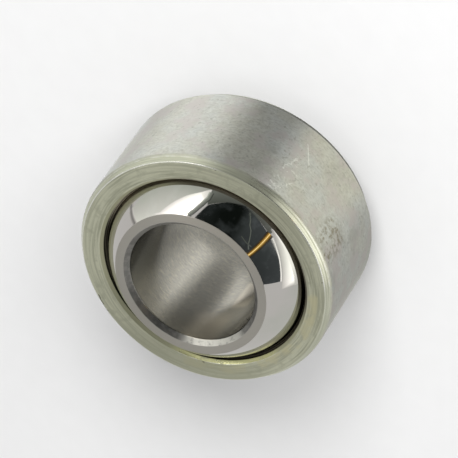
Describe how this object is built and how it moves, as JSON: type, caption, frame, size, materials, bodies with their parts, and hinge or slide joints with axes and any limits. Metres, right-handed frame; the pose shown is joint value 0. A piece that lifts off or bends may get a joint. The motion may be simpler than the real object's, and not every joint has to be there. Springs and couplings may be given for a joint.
{
  "type": "spherical plain bearing",
  "caption": "Spherical plain bearing: a polished steel ball with a cylindrical bore, which tilts and turns in a lined outer ring with a plain cylindrical outside.",
  "frame": {"origin": "centre of the ball, on the bore's axis, halfway between the ball's end faces", "axes": "+Z along the bore's axis, out of the ball's upper end face; +Y along the axis about which the outer ring leans on the ball at rest, its upper end towards -X"},
  "size_m": [0.0326, 0.032, 0.021],
  "materials": {
    "passivated_zinc": "zinc plated and passivated yellow-green on the faces and chamfers, ground bare steel on the outside",
    "sliding_fabric": "dark self-lubricating fabric, matte",
    "polished_steel": "mirror-polished sphere, ground flat ends, honed bore"
  },
  "bodies": {
    "outer_ring": {"outer_ring": "passivated_zinc"},
    "liner": {"sliding_liner": "sliding_fabric"},
    "ball": {"ball": "polished_steel"}
  },
  "joints": [
    {"name": "swivel", "type": "hinge", "parent": "outer_ring", "child": "liner", "pos_m": [0, 0, 0], "axis": [-0.0384, 0, 0.9993], "continuous": true},
    {"name": "tilt", "type": "hinge", "parent": "liner", "child": "ball", "pos_m": [0, 0, 0], "axis": [0, 1, 0], "range_deg": [-17.2, 12.8]}
  ]
}
